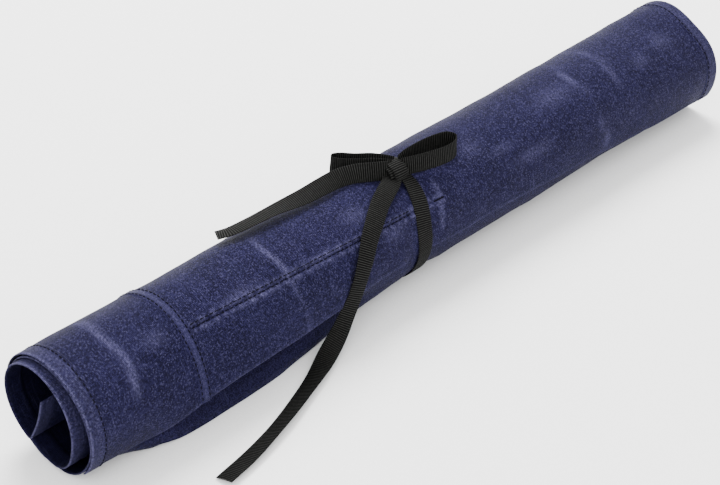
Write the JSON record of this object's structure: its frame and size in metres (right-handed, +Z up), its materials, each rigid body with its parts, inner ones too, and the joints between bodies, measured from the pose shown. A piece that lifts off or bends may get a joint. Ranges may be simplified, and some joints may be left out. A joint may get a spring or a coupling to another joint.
{
  "type": "brush roll case",
  "caption": "Rolled waxed canvas brush case with inner pockets and hemmed ends, tied round the middle with a flat black ribbon in a bow.",
  "frame": {"origin": "under the middle of the roll on the surface that it lies on, the loose ribbon left out", "axes": "+X along the roll from the end with the open core towards the far end, -Y to the side where the free edge lies, +Z up"},
  "size_m": [0.436, 0.0958, 0.0667],
  "materials": {
    "waxed_canvas": "matte waxed canvas, navy, with lighter rubbed creases",
    "pocket_canvas": "matte plain canvas, navy",
    "seam_tape": "matte tape, slightly lighter than the canvas",
    "sewing_thread": "dark thread",
    "tie_ribbon": "ribbed black ribbon with a faint sheen"
  },
  "bodies": {
    "roll": {"canvas_panel": "waxed_canvas", "pocket_panel": "pocket_canvas", "seam_band": "seam_tape", "near_hem_stitching": "sewing_thread", "far_hem_stitching": "sewing_thread", "seam_band_stitching_near": "sewing_thread", "seam_band_stitching_far": "sewing_thread", "divider_stitching_front": "sewing_thread", "divider_stitching_back": "sewing_thread", "divider_bar_tack": "sewing_thread", "ribbon_wrap": "tie_ribbon", "bow_knot": "tie_ribbon"},
    "loop_right": {"bow_loop_right": "tie_ribbon"},
    "loop_left": {"bow_loop_left": "tie_ribbon"},
    "tail_left": {"ribbon_tail_left": "tie_ribbon"},
    "tail_front": {"ribbon_tail_front": "tie_ribbon"}
  },
  "joints": [
    {"name": "loop_right_lift", "type": "hinge", "parent": "roll", "child": "loop_right", "pos_m": [-0.002, -0.0053, 0.0668], "axis": [0, -1, 0], "range_deg": [0, 55]},
    {"name": "loop_left_lift", "type": "hinge", "parent": "roll", "child": "loop_left", "pos_m": [-0.0145, 0.0026, 0.067], "axis": [0.8, 0.6, 0], "range_deg": [0, 55]},
    {"name": "tail_left_lift", "type": "hinge", "parent": "roll", "child": "tail_left", "pos_m": [-0.0168, -0.0056, 0.0668], "axis": [0, 1, 0], "range_deg": [0, 70]},
    {"name": "tail_front_lift", "type": "hinge", "parent": "roll", "child": "tail_front", "pos_m": [-0.0173, -0.0066, 0.0598], "axis": [-1, 0, 0], "range_deg": [0, 60]}
  ]
}
